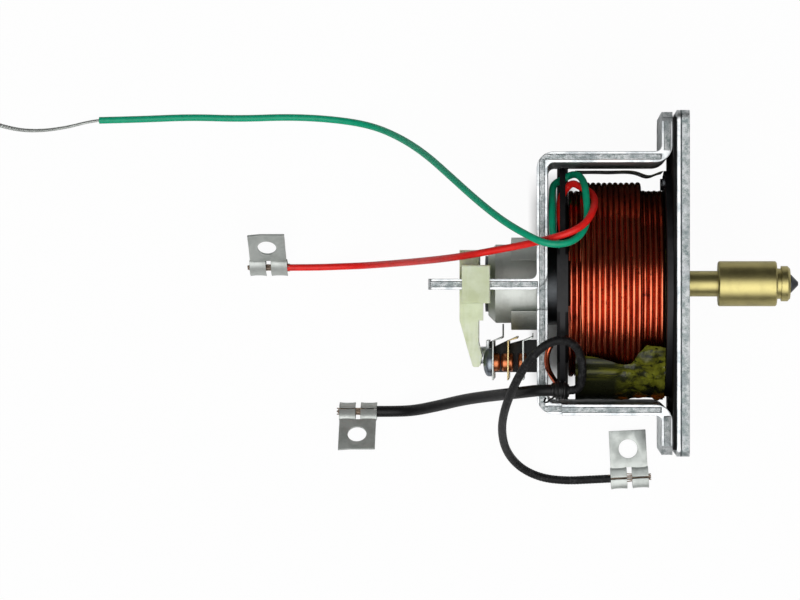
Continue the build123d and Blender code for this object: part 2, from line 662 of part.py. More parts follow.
def lead_sleeve():
    x, y, z = LEAD_SLEEVE_POS
    sleeve = rod(LEAD_SLEEVE_R, x, x + LEAD_SLEEVE_L, y, z)
    return fillet(sleeve.edges().filter_by(GeomType.CIRCLE), LEAD_SLEEVE_EDGE)


def ferrule(x0, filled):
    """A crimped sleeve along X, hollow where it shows and closed on its wire."""
    outline = Plane.YZ * RectangleRounded(2 * FERRULE_Y, 2 * FERRULE_Z, FERRULE_ROUND)
    sleeve = Pos(x0, 0, 0) * extrude(outline, FERRULE_L)
    return sleeve if filled else sleeve - rod(FERRULE_BORE_R, x0 - CUT, x0 + FERRULE_L + CUT)


def flag_terminal(place, tilt):
    """A sheet flag with a hole, on two crimps round the lead's end.

    The lead comes from -X of the terminal's own frame and the flag stands towards +Y.
    """
    second = FERRULE_L + FERRULE_GAP
    reach = second + FERRULE_L
    body = ferrule(0, True) + ferrule(second, False)
    body += rod(BARE_R, FERRULE_L - NECK_LAP, second + NECK_LAP)
    mid = reach / 2
    flag = block(mid - TAG_SIDE / 2, mid + TAG_SIDE / 2, TAG_OFFSET, TAG_OFFSET + TAG_SIDE,
                 -TAG_SHEET / 2, TAG_SHEET / 2)
    for x0 in (0, second):
        flag += block(x0 + NECK_INSET, x0 + FERRULE_L - NECK_INSET, FERRULE_Y - NECK_LAP,
                      TAG_OFFSET + NECK_LAP, -TAG_SHEET / 2, TAG_SHEET / 2)
    flag -= Pos(mid, TAG_OFFSET + TAG_SIDE / 2, 0) * Cylinder(TAG_HOLE_R, 2 * TAG_SHEET)
    return place * Rot(tilt, 0, 0) * (body + flag)


def write_parts():
    os.makedirs("parts", exist_ok=True)
    export("mounting_plate", mounting_plate())
    export("plate_gasket", plate_gasket())
    export("plate_rivets", *[plate_rivet(y, z) for y, z in corners(RIVET_Y, RIVET_Z)])
    export("yoke_frame", yoke_frame())
    export("rear_collar", rear_collar())
    export("guide_sleeve", guide_sleeve())
    export("pole_core", pole_core())
    export("coil_bobbin", coil_bobbin())
    export("hold_in_winding", hold_in_winding())
    export("layer_insulation", layer_insulation())
    export("pull_in_winding", pull_in_winding())
    export("winding_film", winding_film())
    export("plunger", plunger())
    export("push_rod", push_rod())
    export("rod_tip", rod_tip())
    export("cross_pin", cross_pin())
    export("end_washer", end_washer())
    export("return_spring", coil_spring(SPRING_R, SPRING_WIRE_R, SOCKET_X,
                                        CORE_X0 + SPRING_POCKET, SPRING_TURNS))
    export("trip_spring", coil_spring(TRIP_SPRING_R, TRIP_SPRING_WIRE_R,
                                      stem_head_x() + STEM_HEAD_T, PLUNGER_REAR + TAIL_BORE,
                                      TRIP_SPRING_TURNS))
    export("trip_slider", trip_slider())
    export("contact_base", stack_piece(BASE_X, BASE_T))
    export("fixed_leaf", leaf(FIXED_LEAF_X, CONTACT_SHANK_R + FIT, TAG_REACH[0]))
    export("middle_leaf", leaf(MIDDLE_LEAF_X, CONTACT_SHANK_R + SEAT, TAG_REACH[1]))
    export("moving_leaf", leaf(MOVING_LEAF_X, CONTACT_SHANK_R + SEAT, TAG_REACH[2]))
    export("contact_spacers", *contact_spacers())
    export("clamp_plate", stack_piece(CLAMP_X, CLAMP_T))
    export("clamp_screws", *[clamp_screw(z) for z in SCREW_Z])
    export("fixed_contact", fixed_contact())
    export("middle_contacts", middle_contacts())
    export("moving_contact", moving_contact())
    export("contact_button", contact_button())
    export("lead_sleeve", lead_sleeve())
    lead("coil_lead_out", LEAD_OUT_ROUTE, WIRE_D / 2)
    lead("green_lead", GREEN_ROUTE, THIN_LEAD_R)
    lead("green_strand", STRAND_ROUTE, STRAND_R)
    lead("red_lead", RED_ROUTE, THIN_LEAD_R)
    lead("black_lead", BLACK_ROUTE, THICK_LEAD_R)
    lead("braided_lead", BRAID_ROUTE, BRAID_R)
    export("red_terminal", flag_terminal(Pos(*RED_ROUTE[-1]) * Rot(0, 180, 0), -47.0))
    export("black_terminal", flag_terminal(Pos(*BLACK_ROUTE[-1]) * Rot(0, 0, 180), 40.0))
    export("braided_terminal", flag_terminal(Pos(*BRAID_ROUTE[-1]) * Rot(0, 0, 3), 0.0))


write_parts()
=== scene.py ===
import math

import bpy
from mathutils import Matrix, Vector, noise


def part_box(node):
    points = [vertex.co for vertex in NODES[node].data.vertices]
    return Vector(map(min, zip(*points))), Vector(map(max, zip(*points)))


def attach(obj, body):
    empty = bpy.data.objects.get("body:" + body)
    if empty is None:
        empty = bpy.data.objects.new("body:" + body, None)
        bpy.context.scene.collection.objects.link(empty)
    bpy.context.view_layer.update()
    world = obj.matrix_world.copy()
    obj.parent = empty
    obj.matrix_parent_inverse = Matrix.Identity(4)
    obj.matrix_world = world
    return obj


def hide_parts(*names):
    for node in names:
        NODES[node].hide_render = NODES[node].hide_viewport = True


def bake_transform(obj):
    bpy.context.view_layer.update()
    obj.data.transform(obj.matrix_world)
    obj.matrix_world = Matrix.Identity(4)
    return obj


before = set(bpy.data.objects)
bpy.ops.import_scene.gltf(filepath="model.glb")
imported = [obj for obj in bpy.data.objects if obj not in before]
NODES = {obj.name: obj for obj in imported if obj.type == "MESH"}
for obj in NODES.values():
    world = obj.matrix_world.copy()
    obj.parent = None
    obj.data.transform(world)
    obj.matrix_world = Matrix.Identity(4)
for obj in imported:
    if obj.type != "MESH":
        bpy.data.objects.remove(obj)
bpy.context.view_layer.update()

MM = 0.001

bl_info = {
    "name": "Starter solenoid",
    "version": (1, 0, 0),
    "blender": (4, 2, 0),
    "location": "View3D > Sidebar > Solenoid",
    "description": "Dresses a coaxial starter's solenoid with its winding, leads, springs and finishes",
    "category": "Add Mesh",
}

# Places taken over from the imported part, in metres
PLATE_LOW, PLATE_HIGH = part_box("mounting_plate")
YOKE_LOW, YOKE_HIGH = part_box("yoke_frame")
WIND_LOW, WIND_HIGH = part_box("pull_in_winding")
FIXED_LOW, FIXED_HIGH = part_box("fixed_leaf")
MIDDLE_LOW, MIDDLE_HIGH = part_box("middle_leaf")
MOVING_LOW, MOVING_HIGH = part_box("moving_leaf")
BASE_LOW, BASE_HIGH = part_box("contact_base")
CLAMP_LOW, CLAMP_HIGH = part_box("clamp_plate")
SLEEVE_LOW, SLEEVE_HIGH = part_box("lead_sleeve")
STRAP = 0.0035
GASKET_X = PLATE_LOW.x - 0.001
FOOT_MID = GASKET_X - STRAP / 2
BACK_MID = GASKET_X - 0.0435 + STRAP / 2
WALL_MID = 0.0388 + STRAP / 2
TAB_MID = -0.002 + STRAP / 2

# The leads' routes, in millimetres, as in the part's source
GREEN_ROUTE = [
    (-40.6, 12.0, 27.5), (-43.3, 15.0, 28.7), (-43.5, 20.0, 27.5), (-43.5, 24.4, 24.4),
    (-43.5, 28.0, 20.6), (-43.4, 32.0, 14.0), (-40.7, 33.8, 8.5), (-36.9, 35.8, 9.3),
    (-34.5, 34.9, 15.8), (-33.0, 31.7, 24.6), (-32.5, 26.0, 28.9), (-32.2, 21.2, 31.0),
    (-33.4, 16.6, 34.4), (-36.6, 13.4, 37.3), (-41.2, 12.2, 39.2), (-46.5, 12.8, 39.2),
    (-52.6, 15.9, 36.2), (-59.6, 20.2, 30.5), (-68.0, 27.0, 21.0), (-76.6, 34.9, 9.0),
    (-85.6, 43.1, -6.0), (-94.9, 49.4, -21.0), (-105.1, 54.0, -32.4), (-117.9, 56.3, -36.7),
    (-133.3, 57.2, -36.8), (-150.3, 56.6, -36.8), (-167.4, 57.2, -36.8), (-184.4, 56.5, -36.8),
    (-198.8, 56.2, -36.8)]
RED_ROUTE = [
    (-40.2, 15.6, 28.2), (-40.7, 19.4, 26.6), (-41.1, 23.6, 23.6), (-40.9, 27.6, 18.6),
    (-39.2, 30.6, 14.4), (-37.0, 32.8, 15.6), (-34.2, 31.0, 19.2), (-30.9, 29.3, 22.2),
    (-29.7, 26.6, 27.7), (-30.5, 22.9, 33.5), (-32.7, 19.2, 36.2), (-36.6, 16.6, 38.2),
    (-41.2, 15.0, 37.8), (-46.5, 13.6, 34.9), (-53.5, 12.1, 31.2), (-61.8, 10.6, 28.8),
    (-71.3, 8.9, 25.0), (-80.3, 7.9, 13.5), (-89.4, 7.3, -5.0), (-98.5, 6.8, -22.0),
    (-107.5, 6.3, -32.8), (-116.3, 6.0, -35.6), (-125.2, 5.7, -36.0), (-134.0, 5.7, -36.0)]
BLACK_ROUTE = [
    (-43.5, -34.4, 22.7), (-47.6, -34.4, 22.7), (-51.8, -35.0, 18.5), (-57.0, -35.9, 9.0),
    (-64.0, -37.0, -2.5), (-73.0, -38.6, -14.5), (-82.5, -41.2, -26.0), (-90.5, -43.0, -33.4),
    (-97.0, -43.4, -36.0), (-103.4, -43.4, -36.0)]
BRAID_ROUTE = [
    (-38.5, -34.4, 22.7), (-36.3, -34.4, 22.7), (-34.8, -33.4, 23.5), (-34.0, -31.0, 25.4),
    (-33.8, -27.4, 28.4), (-34.3, -23.4, 31.9), (-35.8, -19.9, 35.2), (-39.2, -17.9, 37.8),
    (-43.6, -18.3, 38.6), (-48.4, -21.6, 37.0), (-52.8, -27.2, 32.8), (-56.4, -34.2, 25.7),
    (-59.2, -41.4, 13.5), (-60.4, -48.6, -4.0), (-59.2, -56.2, -21.5), (-54.6, -62.4, -33.0),
    (-47.4, -66.0, -36.2), (-38.8, -66.9, -36.3), (-31.0, -66.48, -36.0), (-23.8, -66.1, -36.0)]
STRAND_ROUTE = [
    (-198.8, 56.2, -36.8), (-202.6, 55.8, -37.2), (-209.9, 53.9, -37.7), (-219.5, 52.6, -37.7),
    (-229.0, 53.2, -37.7), (-236.5, 55.6, -37.7)]
LEAD_OUT_ROUTE = [
    (-38.5, -17.4, 27.2), (-41.6, -17.6, 27.4), (-43.8, -19.2, 27.2), (-45.2, -22.6, 25.6),
    (-45.3, -26.0, 23.2), (-44.3, -29.0, 20.8), (-42.7, -31.4, 18.2)]


def linear(colour):
    """A colour as seen on a screen, turned into the linear one that a shader takes."""
    return [c / 12.92 if c <= 0.04045 else ((c + 0.055) / 1.055) ** 2.4 for c in colour[:3]] + [1.0]


def colour_property(name, description, seen):
    default = [channel / 255 for channel in seen]
    return bpy.props.FloatVectorProperty(name=name, description=description, default=default,
                                         subtype="COLOR_GAMMA", size=3, min=0.0, max=1.0)


class SolenoidColours(bpy.types.PropertyGroup):
    green_lead: colour_property("Green lead", "Insulation of the long lead", (0, 164, 122))
    red_lead: colour_property("Red lead", "Insulation of the red lead", (234, 30, 24))
    black_lead: colour_property("Black lead", "Insulation of the thick lead", (20, 20, 21))
    braid: colour_property("Braid", "Woven sleeve of the thin black lead", (16, 16, 17))
    nylon: colour_property("Nylon", "Moulded trip slider", (216, 224, 194))
    enamel: colour_property("Enamel", "Enamelled copper wire", (216, 106, 70))
    film: colour_property("Film", "Insulating film round the winding", (36, 38, 22))
    zinc: colour_property("Zinc", "Plated plate and yoke", (218, 221, 222))
    brass: colour_property("Brass", "Push rod", (178, 167, 112))
    steel: colour_property("Dark steel", "Plunger and collar", (204, 207, 202))
    tin: colour_property("Tin", "Flag terminals", (186, 190, 186))
    copper: colour_property("Copper", "Contacts", (188, 112, 74))
    moulding: colour_property("Moulding", "Black bobbin and insulators", (22, 22, 24))


class SolenoidSizes(bpy.types.PropertyGroup):
    green_length: bpy.props.FloatProperty(
        name="Green lead", description="Length from the coil to the stripped end",
        default=0.2841, unit="LENGTH")
    red_length: bpy.props.FloatProperty(
        name="Red lead", description="Length from the coil to its terminal",
        default=0.190, unit="LENGTH")
    black_length: bpy.props.FloatProperty(
        name="Black lead", description="Length from the sleeve to its terminal",
        default=0.0887, unit="LENGTH")
    braid_length: bpy.props.FloatProperty(
        name="Braided lead", description="Length from the sleeve to its terminal",
        default=0.1542, unit="LENGTH")
    thin_lead: bpy.props.FloatProperty(
        name="Thin leads", description="Diameter of the green and the red lead",
        default=0.0023, unit="LENGTH")
    thick_lead: bpy.props.FloatProperty(
        name="Thick lead", description="Diameter of the black lead",
        default=0.0038, unit="LENGTH")
    braided_lead: bpy.props.FloatProperty(
        name="Braided lead", description="Diameter over the woven sleeve",
        default=0.0028, unit="LENGTH")
    wire: bpy.props.FloatProperty(
        name="Winding wire", description="Diameter of the enamelled wire",
        default=0.0018, unit="LENGTH")


def colours():
    return bpy.context.scene.solenoid_colours


def sizes():
    return bpy.context.scene.solenoid_sizes


# The winding: turns that lie on each other, counted from the rear flange
TURNS = 17
HIGH_FIRST = 2
HIGH_LAST = 13
STEPS_PER_TURN = 96

# The film under the coil: angle from straight up towards +Y in degrees, radius in millimetres
FILM_PROFILE = [(122, 36.4), (150, 35.2), (180, 34.8), (210, 35.2), (240, 36.8), (264, 38.1), (284, 37.6), (300, 36.3), (312, 35.1), (323, 34.0)]
FILM_X = (-0.0360, -0.0072)
FILM_EDGE_Y = 0.0371
FILM_EDGE_Z = (0.0012, -0.0270)

# A flag terminal in its own frame, in metres: the lead comes from -X and the flag stands towards +Y
FLAG_SIDE = 0.0125
FLAG_SHEET = 0.0008
FLAG_HOLE = 0.0032
FLAG_OFFSET = 0.0036
FERRULE_LENGTH = 0.0055
FERRULE_GAP = 0.0018
FERRULE_WIDE = 0.0037
FERRULE_HIGH = 0.0019
ALONG_X = Matrix(((0, 0, 1, 0), (1, 0, 0, 0), (0, 1, 0, 0), (0, 0, 0, 1)))


# Finishes

class Finish:
    """A material, and the nodes added to it one after the other."""

    def __init__(self, name, colour, roughness, metallic=0.0, edge=0.0):
        self.material = bpy.data.materials.new(name)
        self.material.use_nodes = True
        self.tree = self.material.node_tree
        self.shader = self.tree.nodes["Principled BSDF"]
        self.set("Base Color", linear(colour))
        self.set("Roughness", roughness)
        self.set("Metallic", metallic)
        self.colour = linear(colour)
        self.place = self.tree.nodes.new("ShaderNodeTexCoord").outputs["Object"]
        self.normal = None
        if edge:
            rounded = self.node("ShaderNodeBevel", Radius=edge)
            rounded.samples = 4
            self.normal = rounded.outputs["Normal"]
            self.link(self.normal, self.shader.inputs["Normal"])

    def set(self, socket, value):
        self.shader.inputs[socket].default_value = value

    def node(self, kind, **values):
        made = self.tree.nodes.new(kind)
        for key, value in values.items():
            if key in made.inputs:
                made.inputs[key].default_value = value
            else:
                setattr(made, key, value)
        return made

    def link(self, output, target):
        self.tree.links.new(output, target)

    def grain(self, scale, stretch=(1, 1, 1), detail=6.0, roughness=0.6, turn=(0, 0, 0)):
        """Noise on Object coordinates; a small stretch along an axis draws it out along that axis."""
        mapping = self.node("ShaderNodeMapping")
        mapping.inputs["Scale"].default_value = stretch
        mapping.inputs["Rotation"].default_value = turn
        self.link(self.place, mapping.inputs["Vector"])
        made = self.node("ShaderNodeTexNoise", Scale=scale, Detail=detail, Roughness=roughness)
        self.link(mapping.outputs["Vector"], made.inputs["Vector"])
        return made.outputs["Fac"]

    def ramp(self, value, low, high, from_value=0.0, to_value=1.0):
        made = self.node("ShaderNodeMapRange")
        made.inputs["From Min"].default_value = low
        made.inputs["From Max"].default_value = high
        made.inputs["To Min"].default_value = from_value
        made.inputs["To Max"].default_value = to_value
        self.link(value, made.inputs["Value"])
        return made.outputs["Result"]

    def axis(self, which):
        parts = self.node("ShaderNodeSeparateXYZ")
        self.link(self.place, parts.inputs["Vector"])
        return parts.outputs[which]

    def facing(self, which):
        """How far the surface faces along an axis, whichever way, from 0 to 1."""
        parts = self.node("ShaderNodeSeparateXYZ")
        normal = self.node("ShaderNodeTexCoord").outputs["Normal"]
        self.link(normal, parts.inputs["Vector"])
        return self.math("ABSOLUTE", parts.outputs[which])

    def near(self, value, centre, half):
        """1 within half of centre, falling to 0 over a fifth of a millimetre."""
        away = self.math("ABSOLUTE", self.math("SUBTRACT", value, centre))
        return self.ramp(away, half + 0.0002, half)

    def math(self, operation, first, second=None):
        made = self.node("ShaderNodeMath", operation=operation)
        for socket, value in zip(made.inputs, (first, second)):
            if isinstance(value, (int, float)):
                socket.default_value = value
            elif value is not None:
                self.link(value, socket)
        return made.outputs["Value"]

    def paint(self, colour, share):
        """Mixes another colour over what the base colour is so far, by share."""
        mixed = self.node("ShaderNodeMix", data_type="RGBA")
        base = self.shader.inputs["Base Color"]
        if base.is_linked:
            self.link(base.links[0].from_socket, mixed.inputs["A"])
        else:
            mixed.inputs["A"].default_value = self.colour
        mixed.inputs["B"].default_value = linear(colour)
        self.link(share, mixed.inputs["Factor"])
        self.link(mixed.outputs["Result"], base)
        return self

    def rough(self, value, low, high):
        """Roughness from low to high as the value goes from 0 to 1."""
        self.link(self.ramp(value, 0.0, 1.0, low, high), self.shader.inputs["Roughness"])
        return self

    def bump(self, height, strength, distance):
        made = self.node("ShaderNodeBump", Strength=strength, Distance=distance)
        self.link(height, made.inputs["Height"])
        if self.normal is not None:
            self.link(self.normal, made.inputs["Normal"])
        self.normal = made.outputs["Normal"]
        self.link(self.normal, self.shader.inputs["Normal"])
        return self


def mix(colour, share, other=(1.0, 1.0, 1.0)):
    return [a * (1 - share) + b * share for a, b in zip(colour, other)]


def plated_steel(name, colour):
    """Zinc over rolled sheet: clouded, with a fine grain."""
    made = Finish(name, colour, 0.3, 1.0, edge=0.0005)
    cloud = made.grain(210.0, detail=8.0, roughness=0.65)
    speck = made.grain(1500.0, detail=3.0)
    made.paint(mix(colour, 0.5, (0.5, 0.54, 0.56)), made.ramp(cloud, 0.48, 0.64))
    made.rough(cloud, 0.3, 0.5)
    return made.bump(speck, 0.25, 0.0001)


def torn(made, share, scale=620.0):
    """The rough band that a blade leaves where sheet breaks rather than cuts."""
    tears = made.grain(scale, detail=8.0, roughness=0.8)
    pits = made.ramp(tears, 0.4, 0.56, 1.0, 0.0)
    made.paint((0.52, 0.57, 0.57), made.math("MULTIPLY", share, pits))
    return made.bump(made.math("MULTIPLY", share, tears), 0.8, 0.0005)


def plated_yoke():
    """The strap's sheared edges face up and down: a torn band runs along the middle of each."""
    made = plated_steel("plated_yoke", colours().zinc)
    x = made.axis("X")
    y = made.axis("Y")
    wide = made.math("ABSOLUTE", y)
    bands = [(made.near(wide, WALL_MID, 0.0008), made.ramp(x, -0.0084, -0.0090)),
             (made.near(x, BACK_MID, 0.0008), made.ramp(wide, 0.0400, 0.0396)),
             (made.near(x, FOOT_MID, 0.0009), made.ramp(wide, 0.0424, 0.0428)),
             (made.near(y, TAB_MID, 0.0008), made.ramp(x, -0.0480, -0.0484))]
    total = None
    for band, where in bands:
        share = made.math("MULTIPLY", band, where)
        total = share if total is None else made.math("MAXIMUM", total, share)
    edge = made.math("MULTIPLY", total, made.ramp(made.facing("Z"), 0.7, 0.9))
    tip = made.ramp(wide, 0.0528, 0.0532)
    return torn(made, made.math("MAXIMUM", edge, made.math("MULTIPLY", tip, 0.8)))


def sheared_plate():
    """The plate's edges: a smooth band where the blade cut and a torn band over the rest."""
    made = plated_steel("sheared_plate", colours().zinc)
    across = made.axis("X")
    side = made.ramp(made.facing("X"), 0.5, 0.3)
    line = made.near(across, -0.0027, 0.00012)
    made.paint((0.2, 0.21, 0.22), made.math("MULTIPLY", side, line))
    share = made.math("MULTIPLY", made.ramp(across, -0.0029, -0.0024), side)
    return torn(made, share, 480.0)


def moulding(name, colour, roughness=0.5, gloss=0.3):
    made = Finish(name, colour, roughness, edge=0.0003)
    skin = made.grain(900.0, detail=4.0)
    dust = made.grain(90.0, detail=6.0)
    made.paint(mix(colour, 0.1), made.ramp(dust, 0.5, 0.75))
    made.set("Specular IOR Level", gloss)
    return made.bump(skin, 0.25, 0.0001).rough(dust, roughness - 0.12, roughness + 0.15)


def enamelled_wire():
    """Copper under a brown enamel that has pooled darker in places."""
    made = Finish("enamelled_wire", colours().enamel, 0.2, 1.0)
    tone = made.grain(70.0, stretch=(4.0, 1, 1), detail=5.0)
    pool = made.grain(420.0, stretch=(1.5, 1, 1), detail=4.0)
    made.paint((0.62, 0.24, 0.15), made.ramp(tone, 0.46, 0.7))
    made.paint((0.22, 0.07, 0.05), made.ramp(pool, 0.6, 0.76))
    made.set("Coat Weight", 0.35)
    made.set("Coat Roughness", 0.1)
    return made.bump(pool, 0.18, 0.0002).rough(pool, 0.16, 0.3)


def olive_film():
    """Varnished film: dark under the coil, yellow where it is creased, with dark patches painted in among
    the creases as their shade.
    """
    made = Finish("olive_film", colours().film, 0.2)
    creased = made.ramp(made.axis("X"), -0.0235, -0.0195)
    cloud = made.grain(150.0, detail=6.0, roughness=0.6)
    fold = made.grain(330.0, detail=8.0, roughness=0.7)
    high = made.math("MULTIPLY", made.ramp(made.axis("Y"), -0.0315, -0.0295),
                     made.ramp(made.axis("Z"), 0.0, 0.005))
    streak = made.grain(230.0, stretch=(0.2, 1.5, 1.5), detail=5.0)
    made.paint((0.36, 0.36, 0.10), made.math("MULTIPLY", high, made.ramp(streak, 0.45, 0.6)))
    made.paint((0.44, 0.45, 0.13), made.math("MULTIPLY", creased, made.ramp(cloud, 0.44, 0.6)))
    # painted shade: dark patches on the fold noise in the creased part stand in for shade in the crease
    # hollows
    made.paint((0.07, 0.08, 0.04), made.math("MULTIPLY", creased, made.ramp(fold, 0.54, 0.62)))
    rim = made.math("MULTIPLY", made.ramp(made.axis("Y"), -0.0352, -0.0368), creased)
    made.paint((0.66, 0.30, 0.07), made.math("MULTIPLY", rim, made.ramp(cloud, 0.46, 0.58)))
    made.set("Specular IOR Level", 0.2)
    made.set("Coat Weight", 0.06)
    made.set("Coat Roughness", 0.08)
    return made.bump(made.math("MULTIPLY", creased, fold), 0.5, 0.0005).rough(cloud, 0.15, 0.38)


def insulation(name, colour, roughness, gloss=0.35):
    """Soft extruded insulation, a little dusty and uneven."""
    made = Finish(name, colour, roughness)
    wave = made.grain(420.0, detail=3.0)
    dust = made.grain(1800.0, detail=2.0)
    made.paint(mix(colour, 0.3, (0.0, 0.0, 0.0)), made.ramp(wave, 0.45, 0.8, 0.0, 0.4))
    made.set("Specular IOR Level", gloss)
    return made.bump(wave, 0.2, 0.0003).rough(dust, roughness - 0.1, roughness + 0.14)


def woven_sleeve():
    """The braid's yarns, on the tube's own lengthwise and round-about coordinates."""
    made = Finish("woven_sleeve", colours().braid, 0.5)
    parts = made.node("ShaderNodeSeparateXYZ")
    made.link(made.node("ShaderNodeTexCoord").outputs["UV"], parts.inputs["Vector"])
    along = made.math("MULTIPLY", parts.outputs["X"], 2 * math.pi / 0.4)
    fibre = made.math("SINE", made.math("ADD", along, made.math("MULTIPLY", parts.outputs["Y"], 75.4)))
    worn = made.grain(700.0, detail=4.0)
    made.paint(mix(colours().braid, 0.16), made.ramp(worn, 0.52, 0.7))
    made.set("Specular IOR Level", 0.22)
    return made.bump(fibre, 0.3, 0.0001).rough(worn, 0.38, 0.62)


def bright_metal(name, colour, roughness=0.3, marks=700.0, stretch=(1, 1, 1), stained=0.5):
    made = Finish(name, colour, roughness, 1.0, edge=0.00025)
    line = made.grain(marks, stretch=stretch, detail=5.0)
    stain = made.grain(120.0)
    made.paint(mix(colour, 0.45, (0.1, 0.09, 0.08)), made.ramp(stain, 0.5, 0.8, 0.0, stained))
    return made.bump(line, 0.18, 0.0001).rough(line, roughness - 0.08, roughness + 0.12)


def tinned_sheet():
    made = Finish("tinned_sheet", colours().tin, 0.42, 0.5)
    cloud = made.grain(170.0, detail=7.0)
    scratch = made.grain(900.0, stretch=(0.15, 1, 1), detail=4.0)
    made.paint(mix(colours().tin, 0.35, (0.5, 0.52, 0.5)), made.ramp(cloud, 0.45, 0.62))
    return made.bump(scratch, 0.15, 0.0001).rough(cloud, 0.34, 0.52)


def nylon():
    made = Finish("nylon", colours().nylon, 0.38)
    cloud = made.grain(120.0)
    draw = made.grain(260.0, stretch=(1, 0.12, 0.12), detail=3.0)
    made.set("Subsurface Weight", 0.5)
    made.set("Subsurface Radius", (1.0, 1.0, 0.6))
    made.set("Subsurface Scale", 0.003)
    made.paint(mix(colours().nylon, 0.4, (0.66, 0.70, 0.48)), made.ramp(cloud, 0.42, 0.66))
    made.paint(mix(colours().nylon, 0.5), made.ramp(draw, 0.56, 0.72, 0.0, 0.5))
    return made.bump(made.grain(700.0), 0.12, 0.0001).rough(cloud, 0.3, 0.46)


def dress(finish, *nodes):
    """Gives CAD nodes or pieces a finish in place of what they carry."""
    for node in nodes:
        target = NODES[node] if isinstance(node, str) else node
        target.data.materials.clear()
        target.data.materials.append(finish.material)


# Modelling

def deselect():
    if bpy.context.mode != "OBJECT":
        bpy.ops.object.mode_set(mode="OBJECT")
    bpy.ops.object.select_all(action="DESELECT")


def route_curve(name, points, radius, sides=5, resolution=10):
    """A cord on one smooth spline whose control points are the route's, in millimetres."""
    curve = bpy.data.curves.new(name, "CURVE")
    curve.dimensions = "3D"
    spline = curve.splines.new("NURBS")
    spline.points.add(len(points) - 1)
    for point, (x, y, z) in zip(spline.points, points):
        point.co = (x * MM, y * MM, z * MM, 1.0)
    spline.order_u = 3
    spline.use_endpoint_u = True
    spline.resolution_u = resolution
    curve.bevel_depth = radius
    curve.bevel_resolution = sides
    curve.use_fill_caps = True
    made = bpy.data.objects.new(name, curve)
    bpy.context.scene.collection.objects.link(made)
    return made


def metres(point):
    return tuple(value * MM for value in point)


def spline_points(points, resolution=24):
    """Points along a route's smooth spline, read from the curve itself."""
    curve = route_curve("route_line", points, 0.0, resolution=resolution)
    line = bpy.data.meshes.new_from_object(curve)
    found = [vertex.co.copy() for vertex in line.vertices]
    bpy.data.meshes.remove(line)
    bpy.data.objects.remove(curve)
    return found


def crossings(points):
    """Each point with two directions across the line, carried along it without a twist."""
    across = None
    made = []
    for index, point in enumerate(points):
        along = (points[min(index + 1, len(points) - 1)] - points[max(index - 1, 0)]).normalized()
        across = along.orthogonal() if across is None else across - along * across.dot(along)
        across.normalize()
        made.append((point, across.copy(), along.cross(across)))
    return made


def tube_rings(points, radius, sides):
    """Rings of a tube; radius is a length, or a function of the ring's and the side's number."""
    rings = []
    for index, (point, across, over) in enumerate(crossings(points)):
        ring = []
        for side in range(sides):
            turn = 2 * math.pi * side / sides
            reach = radius(index, side) if callable(radius) else radius
            ring.append(point + (across * math.cos(turn) + over * math.sin(turn)) * reach)
        rings.append(ring)
    return rings


def skin(name, tubes):
    """One mesh over several tubes, with lengths along and round each tube as its UV map."""
    corners, faces, places = [], [], []
    for rings in tubes:
        first = len(corners)
        sides = len(rings[0])
        run = 0.0
        for index, ring in enumerate(rings):
            if index:
                run += (ring[0] - rings[index - 1][0]).length
            corners.extend(ring)
            places.extend((run * 1000, side / sides) for side in range(sides))
        for index in range(len(rings) - 1):
            low = first + index * sides
            for side in range(sides):
                after = (side + 1) % sides
                faces.append((low + side, low + after, low + sides + after, low + sides + side))
        faces.append(tuple(reversed(range(first, first + sides))))
        faces.append(tuple(range(len(corners) - sides, len(corners))))
    mesh = bpy.data.meshes.new(name)
    mesh.from_pydata(corners, [], faces)
    layer = mesh.uv_layers.new(name="UVMap")
    for loop in mesh.loops:
        layer.data[loop.index].uv = places[loop.vertex_index]
    made = bpy.data.objects.new(name, mesh)
    bpy.context.scene.collection.objects.link(made)
    return smooth(made)


def smooth(piece, angle=40.0):
    select(piece)
    bpy.ops.object.shade_smooth_by_angle(angle=math.radians(angle))
    return piece


def select(piece, *others):
    deselect()
    for one in (piece, *others):
        one.select_set(True)
    bpy.context.view_layer.objects.active = piece


def pick(piece, wanted):
    """Selects a piece's vertices by their place, and leaves it in edit mode."""
    select(piece)
    bpy.ops.object.mode_set(mode="EDIT")
    bpy.ops.mesh.select_mode(type="VERT")
    bpy.ops.mesh.select_all(action="DESELECT")
    bpy.ops.object.mode_set(mode="OBJECT")
    for vertex in piece.data.vertices:
        vertex.select = wanted(vertex.co)
    bpy.ops.object.mode_set(mode="EDIT")


def settle(piece):
    """Puts a piece's place, turn and size into its mesh."""
    select(piece)
    bpy.ops.object.transform_apply(location=True, rotation=True, scale=True)
    return piece


def modify(piece, kind, **values):
    modifier = piece.modifiers.new(kind.lower(), kind)
    for key, value in values.items():
        setattr(modifier, key, value)
    select(piece)
    bpy.ops.object.modifier_apply(modifier=modifier.name)
    return piece


def bar(name, low, high):
    """A block between two corners, before its edges are shaped."""
    deselect()
    middle = [(a + b) / 2 for a, b in zip(low, high)]
    bpy.ops.mesh.primitive_cube_add(size=1.0, location=middle)
    made = bpy.context.object
    made.name = name
    made.scale = [b - a for a, b in zip(low, high)]
    return settle(made)


def join(piece, *others):
    select(piece, *others)
    bpy.ops.object.join()
    return piece


def round_edges(piece, width, segments=2):
    modify(piece, "BEVEL", width=width, segments=segments, limit_method="ANGLE",
           angle_limit=math.radians(35))
    return smooth(piece)


def node_copy(name, node):
    """A piece with a CAD node's shape, its loose triangles merged."""
    made = bpy.data.objects.new(name, NODES[node].data.copy())
    bpy.context.scene.collection.objects.link(made)
    select(made)
    bpy.ops.object.mode_set(mode="EDIT")
    bpy.ops.mesh.select_all(action="SELECT")
    bpy.ops.mesh.remove_doubles(threshold=0.000001)
    bpy.ops.object.mode_set(mode="OBJECT")
    return made


def step_between(value, low, high):
    share = min(1.0, max(0.0, (value - low) / (high - low)))
    return share * share * (3 - 2 * share)


